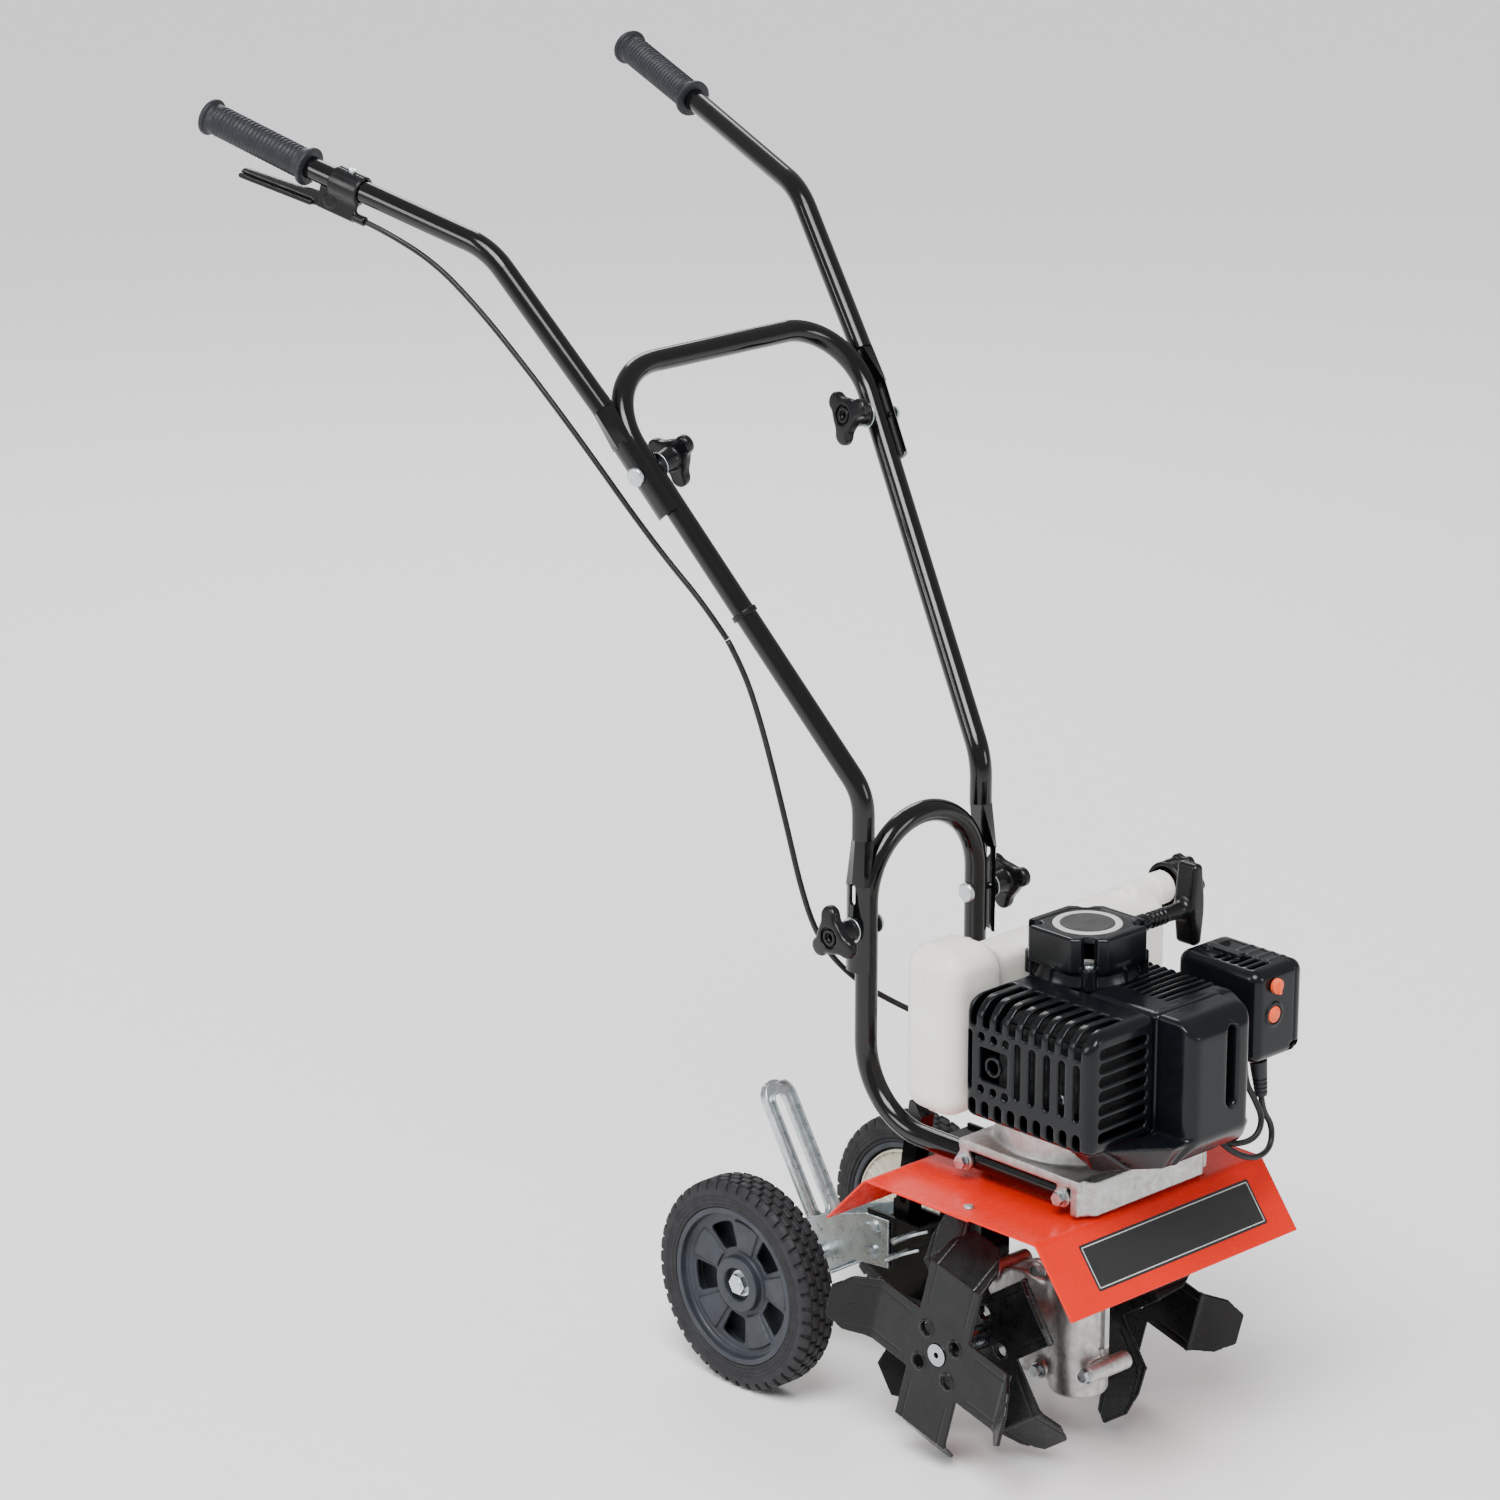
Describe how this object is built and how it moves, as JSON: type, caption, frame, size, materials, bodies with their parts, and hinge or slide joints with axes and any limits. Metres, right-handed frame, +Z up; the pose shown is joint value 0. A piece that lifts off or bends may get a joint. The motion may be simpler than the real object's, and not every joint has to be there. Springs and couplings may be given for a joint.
{
  "type": "tiller",
  "caption": "Walk-behind mini tiller: vertical-shaft petrol engine over a worm gear case with bent-tip tines, folding tube handles, transport wheels and a drag stake.",
  "frame": {"origin": "middle of the bounding box on the ground under the tines and wheels", "axes": "+Z up, -Y the front with engine and guard, +Y the rear with the handles, +X the operator's left"},
  "size_m": [0.5146, 0.9581, 1.0607],
  "materials": {
    "cast_aluminium": "as cast, slightly rough",
    "zinc_steel": "zinc plated",
    "bearing_steel": "ground steel",
    "black_tube": "gloss black powder coat",
    "red_paint": "gloss red powder coat",
    "tine_black": "satin black paint",
    "tyre_rubber": "matt tread",
    "hub_plastic": "moulded, satin",
    "grip_rubber": "ribbed",
    "cover_black": "moulded, semi gloss",
    "knob_black": "moulded, fine texture",
    "cable_black": "smooth",
    "piston_alloy": "turned",
    "filter_foam": "open foam",
    "orange_plastic": "moulded",
    "tank_white": "translucent, semi matt"
  },
  "bodies": {
    "chassis": {"base_casting": "cast_aluminium", "gear_case_right": "cast_aluminium", "gear_case_left": "cast_aluminium", "hex_bolts": "zinc_steel", "arch_tube": "black_tube", "front_guard": "red_paint", "rear_guard": "red_paint", "pan_screws": "zinc_steel", "stake_bracket": "black_tube", "bearings": "bearing_steel", "hitch_pins": "zinc_steel", "crankcase": "cast_aluminium", "cylinder": "cast_aluminium", "spark_plug": "zinc_steel", "muffler": "bearing_steel", "muffler_guard": "cover_black", "fan_shroud": "cover_black", "recoil_housing": "cover_black", "carburettor": "cast_aluminium", "air_filter": "filter_foam", "air_box": "cover_black", "fuel_tank": "tank_white", "plug_boot": "grip_rubber", "engine_leads": "cable_black", "ignition_coil": "cover_black"},
    "crank": {"crankshaft": "bearing_steel", "flywheel": "cover_black", "clutch_shoes": "bearing_steel"},
    "piston": {"piston": "piston_alloy"},
    "drive_shaft": {"worm_shaft": "bearing_steel", "clutch_drum": "bearing_steel"},
    "tine_rotor": {"tine_shaft": "bearing_steel", "worm_wheel": "bearing_steel", "tines_right": "tine_black", "tines_left": "tine_black"},
    "wheel_carriage": {"wheel_bracket": "zinc_steel", "wheel_axle": "zinc_steel"},
    "wheel_right": {"tyre_right": "tyre_rubber", "wheel_hub_right": "hub_plastic"},
    "wheel_left": {"tyre_left": "tyre_rubber", "wheel_hub_left": "hub_plastic"},
    "drag_stake": {"drag_stake": "black_tube"},
    "lower_handle": {"lower_handle": "black_tube", "handle_bolts": "zinc_steel", "throttle_cable_lower": "cable_black"},
    "upper_handle_right": {"upper_handle_right": "black_tube", "grip_right": "grip_rubber", "throttle_bracket": "knob_black", "throttle_cable_upper": "cable_black"},
    "upper_handle_left": {"upper_handle_left": "black_tube", "grip_left": "grip_rubber"},
    "knob_lower_left": {"knob_lower_left": "knob_black"},
    "knob_lower_right": {"knob_lower_right": "knob_black"},
    "knob_upper_left": {"knob_upper_left": "knob_black"},
    "knob_upper_right": {"knob_upper_right": "knob_black"},
    "throttle_lever": {"throttle_lever": "knob_black"},
    "fuel_cap": {"fuel_cap": "knob_black"},
    "pull_handle": {"pull_handle": "knob_black"},
    "choke_knob": {"choke_knob": "orange_plastic"},
    "primer_button": {"primer_button": "orange_plastic"}
  },
  "joints": [
    {"name": "tine_spin", "type": "hinge", "parent": "chassis", "child": "tine_rotor", "pos_m": [0, -0.283, 0.106], "axis": [1, 0, 0], "continuous": true},
    {"name": "drive_spin", "type": "hinge", "parent": "chassis", "child": "drive_shaft", "pos_m": [0, -0.332, 0.106], "axis": [0, 0, 1], "continuous": true},
    {"name": "crank_spin", "type": "hinge", "parent": "chassis", "child": "crank", "pos_m": [0, -0.332, 0.35], "axis": [0, 0, 1], "continuous": true},
    {"name": "piston_stroke", "type": "slide", "parent": "chassis", "child": "piston", "axis": [0, -1, 0], "range_m": [-0.012, 0.012]},
    {"name": "carriage_tilt", "type": "hinge", "parent": "chassis", "child": "wheel_carriage", "pos_m": [0, -0.1105, 0.1378], "axis": [1, 0, 0], "range_deg": [0, 35]},
    {"name": "wheel_right_spin", "type": "hinge", "parent": "wheel_carriage", "child": "wheel_right", "pos_m": [-0.107, -0.0452, 0.0935], "axis": [1, 0, 0], "continuous": true},
    {"name": "wheel_left_spin", "type": "hinge", "parent": "wheel_carriage", "child": "wheel_left", "pos_m": [0.107, -0.0452, 0.0935], "axis": [1, 0, 0], "continuous": true},
    {"name": "stake_depth", "type": "slide", "parent": "chassis", "child": "drag_stake", "axis": [0, -0.1562, 0.9877], "range_m": [-0.096, 0.064]},
    {"name": "handle_fold", "type": "hinge", "parent": "chassis", "child": "lower_handle", "pos_m": [0, -0.1448, 0.4311], "axis": [-1, 0, 0], "range_deg": [0, 50], "deforming": ["throttle_cable_lower"]},
    {"name": "upper_fold_left", "type": "hinge", "parent": "lower_handle", "child": "upper_handle_left", "pos_m": [0.13114, 0.0439, 0.79656], "axis": [-0.9812, 0.1156, 0.1544], "range_deg": [0, 90]},
    {"name": "upper_fold_right", "type": "hinge", "parent": "lower_handle", "child": "upper_handle_right", "pos_m": [-0.13114, 0.0439, 0.79656], "axis": [-0.9812, -0.1156, -0.1544], "range_deg": [0, 90], "deforming": ["throttle_cable_upper"]},
    {"name": "knob_lower_left_turn", "type": "hinge", "parent": "lower_handle", "child": "knob_lower_left", "pos_m": [0.09, -0.1448, 0.4311], "axis": [1, 0, 0], "range_deg": [0, 720]},
    {"name": "knob_lower_right_turn", "type": "hinge", "parent": "lower_handle", "child": "knob_lower_right", "pos_m": [-0.09, -0.1448, 0.4311], "axis": [-1, 0, 0], "range_deg": [0, 720]},
    {"name": "knob_upper_left_turn", "type": "hinge", "parent": "lower_handle", "child": "knob_upper_left", "pos_m": [0.13114, 0.0439, 0.79656], "axis": [-0.9812, 0.1156, 0.1544], "range_deg": [0, 720]},
    {"name": "knob_upper_right_turn", "type": "hinge", "parent": "lower_handle", "child": "knob_upper_right", "pos_m": [-0.13114, 0.0439, 0.79656], "axis": [0.9812, 0.1156, 0.1544], "range_deg": [0, 720]},
    {"name": "throttle_squeeze", "type": "hinge", "parent": "upper_handle_right", "child": "throttle_lever", "pos_m": [-0.21505, 0.34104, 0.98934], "axis": [-0.9724, -0.2334, 0], "range_deg": [0, 8], "stiffness_Nm_per_rad": 0.6, "springref_deg": -8.59},
    {"name": "fuel_cap_turn", "type": "hinge", "parent": "chassis", "child": "fuel_cap", "pos_m": [0.17, -0.263, 0.4385], "axis": [1, 0, 0], "range_deg": [0, 720]},
    {"name": "pull_start", "type": "slide", "parent": "chassis", "child": "pull_handle", "axis": [1, 0, 0], "range_m": [0, 0.03], "stiffness_N_per_m": 60, "springref_m": -0.05},
    {"name": "choke_turn", "type": "hinge", "parent": "chassis", "child": "choke_knob", "pos_m": [0.098, -0.443, 0.418], "axis": [0, -1, 0], "range_deg": [0, 75]},
    {"name": "primer_press", "type": "slide", "parent": "chassis", "child": "primer_button", "axis": [0, 1, 0], "range_m": [0, 0.005], "stiffness_N_per_m": 400, "springref_m": -0.002}
  ],
  "couplings": [
    {"joint": "drive_spin", "follows": "tine_spin", "ratio": 24}
  ]
}
